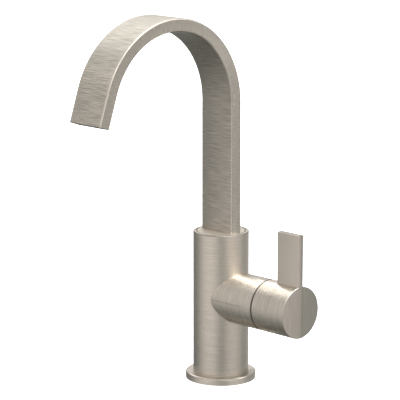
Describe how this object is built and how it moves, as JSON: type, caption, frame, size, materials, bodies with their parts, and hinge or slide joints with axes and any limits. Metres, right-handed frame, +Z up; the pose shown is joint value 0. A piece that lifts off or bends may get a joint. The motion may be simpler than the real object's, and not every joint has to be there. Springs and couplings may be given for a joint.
{
  "type": "tall basin mixer",
  "caption": "Tall deck-mounted basin mixer: round column, swivelling flat ribbon spout bent over in an arc, and a side hub with an upright lever blade.",
  "frame": {"origin": "on the column's axis at the deck plane, the centre of the hole in the base flange's underside", "axes": "+Z up along the column; the spout reaches towards -Y, where the user stands; the handle's axis points along +X, to the user's right"},
  "size_m": [0.1155, 0.1744, 0.3],
  "materials": {
    "nickel": "brushed nickel plating on brass, fine satin grain",
    "bare_brass": "machined brass",
    "black_rubber": "smooth black sealing rubber",
    "white_plastic": "natural white acetal",
    "dark_plastic": "dark grey moulded plastic",
    "ceramic": "lapped white alumina ceramic",
    "steel": "bright stainless steel"
  },
  "bodies": {
    "fixture": {"column": "nickel", "base_flange": "nickel", "deck_gasket": "black_rubber", "cartridge_base": "white_plastic", "port_seals": "black_rubber", "disc_gasket": "black_rubber", "fixed_disc": "ceramic", "cartridge_housing": "white_plastic", "stop_ring": "white_plastic", "cartridge_nut": "bare_brass", "glide_ring": "dark_plastic", "spout_washer": "white_plastic", "stop_screw": "steel"},
    "spout": {"spout_tube": "nickel", "swivel_hub": "nickel", "spout_seals": "black_rubber", "spout_bush": "white_plastic", "outlet_frame": "dark_plastic", "flow_straightener": "dark_plastic", "outlet_screen": "steel", "outlet_seal": "black_rubber"},
    "handle": {"handle_hub": "nickel", "lever_blade": "nickel", "handle_adapter": "white_plastic", "handle_screw": "steel", "screw_cap": "nickel", "cartridge_stem": "bare_brass", "stem_seals": "black_rubber", "disc_carrier": "white_plastic", "moving_disc": "ceramic"}
  },
  "joints": [
    {"name": "spout_swivel", "type": "hinge", "parent": "fixture", "child": "spout", "pos_m": [0, 0, 0.112], "axis": [0, 0, 1], "range_deg": [-60, 60]},
    {"name": "handle_turn", "type": "hinge", "parent": "fixture", "child": "handle", "pos_m": [0.0535, 0, 0.0695], "axis": [1, 0, 0], "range_deg": [0, 100]}
  ]
}
